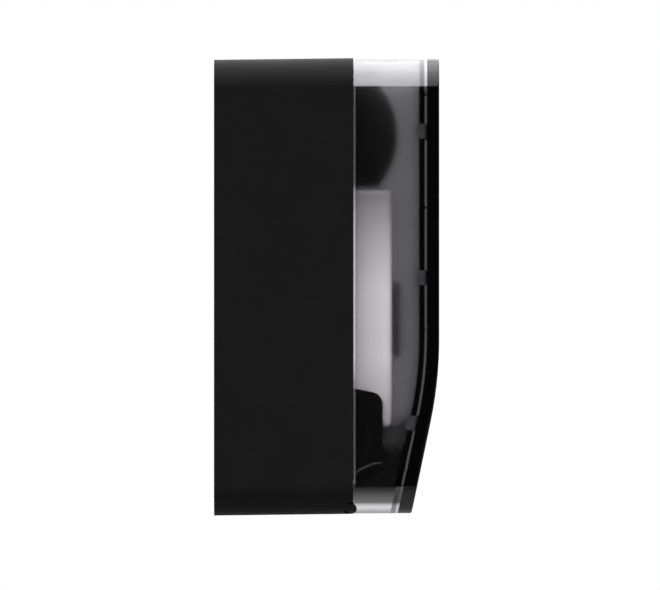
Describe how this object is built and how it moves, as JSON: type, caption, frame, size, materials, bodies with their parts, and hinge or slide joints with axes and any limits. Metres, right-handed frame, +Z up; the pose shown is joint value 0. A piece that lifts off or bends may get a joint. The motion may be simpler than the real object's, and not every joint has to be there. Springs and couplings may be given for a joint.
{
  "type": "wall mounted soap dispenser",
  "caption": "Touch-free wall soap dispenser: black case, smoked hinged cover with a leaning gloss front, cartridge, battery box, geared pump lift and lock.",
  "frame": {"origin": "middle of the wall face, at the centre of the four wall screw holes", "axes": "+Z up, +Y into the wall, the front faces -Y"},
  "size_m": [0.144, 0.1431, 0.2911],
  "materials": {
    "case_black": "grained moulded",
    "smoked_clear": "smoked translucent",
    "gloss_black": "polished",
    "frame_black": "satin moulded",
    "guard_grey": "satin moulded",
    "inner_black": "satin moulded",
    "bottle_natural": "translucent natural",
    "lens_dark": "dark lens",
    "acetal_white": "moulded",
    "steel": "bright",
    "lock_chrome": "polished",
    "brass": "turned",
    "rubber_dark": "moulded",
    "board_green": "solder mask",
    "parts_black": "moulded",
    "cell_wrap": "wrapped cell"
  },
  "bodies": {
    "case": {"rear_case": "case_black", "sensor_window": "lens_dark", "hinge_pins": "steel", "lock_sleeve": "lock_chrome", "lock_nut": "lock_chrome", "battery_box": "inner_black", "battery_lid": "inner_black", "box_screws": "steel", "battery_cells": "cell_wrap", "battery_contacts": "steel", "battery_springs": "steel", "cartridge_bottle": "bottle_natural", "cartridge_grip": "inner_black", "cartridge_cap": "acetal_white", "cap_gasket": "rubber_dark", "pump_cylinder": "acetal_white", "return_spring": "steel", "inlet_valve": "rubber_dark", "pump_chassis": "inner_black", "chassis_screws": "steel", "guide_posts": "steel", "idler_shaft": "steel", "gear_plate_left": "inner_black", "gear_plate_right": "inner_black", "plate_screws": "steel", "plate_pillars": "brass", "motor": "steel", "motor_screws": "steel", "control_board": "board_green", "board_screws": "steel", "board_parts": "parts_black", "battery_lead": "rubber_dark", "motor_lead": "rubber_dark", "lead_clips": "case_black", "sensor_board": "board_green", "sensor_leds": "lens_dark"},
    "cover": {"window_shell": "smoked_clear", "faceplate": "gloss_black", "inner_frame": "frame_black", "frame_screws": "steel", "drip_guard": "guard_grey", "guard_screws": "steel", "cover_catch": "frame_black"},
    "lock": {"lock_plug": "lock_chrome", "lock_cam": "steel", "cam_screw": "steel"},
    "lift": {"lift_yoke": "acetal_white", "pump_piston": "acetal_white", "piston_seal": "rubber_dark", "nozzle": "acetal_white", "foam_screen": "steel"},
    "output": {"output_gear": "acetal_white", "drive_pinion": "acetal_white", "output_shaft": "steel"},
    "idler": {"idler_gear": "acetal_white"},
    "rotor": {"motor_pinion": "brass", "motor_shaft": "steel"}
  },
  "joints": [
    {"name": "cover_hinge", "type": "hinge", "parent": "case", "child": "cover", "pos_m": [0, -0.0872, -0.14065], "axis": [1, 0, 0], "range_deg": [0, 85]},
    {"name": "lock_turn", "type": "hinge", "parent": "case", "child": "lock", "pos_m": [0, -0.076, 0.14], "axis": [0, 0, 1], "range_deg": [0, 90]},
    {"name": "pump_lift", "type": "slide", "parent": "case", "child": "lift", "axis": [0, 0, 1], "range_m": [0, 0.01], "stiffness_N_per_m": 400, "springref_m": -0.004, "deforming": ["return_spring"]},
    {"name": "output_turn", "type": "hinge", "parent": "case", "child": "output", "pos_m": [0, -0.058, -0.11302], "axis": [1, 0, 0], "range_deg": [-96.49, 0]},
    {"name": "idler_turn", "type": "hinge", "parent": "case", "child": "idler", "pos_m": [0, -0.04669, -0.10171], "axis": [1, 0, 0], "range_deg": [0, 287.48]},
    {"name": "rotor_turn", "type": "hinge", "parent": "case", "child": "rotor", "pos_m": [0, -0.0382, -0.11019], "axis": [1, 0, 0], "range_deg": [-860.44, 0]}
  ],
  "couplings": [
    {"joint": "output_turn", "follows": "pump_lift", "rad_per_m": -166.67},
    {"joint": "idler_turn", "follows": "pump_lift", "rad_per_m": 500},
    {"joint": "rotor_turn", "follows": "pump_lift", "rad_per_m": -1500}
  ]
}
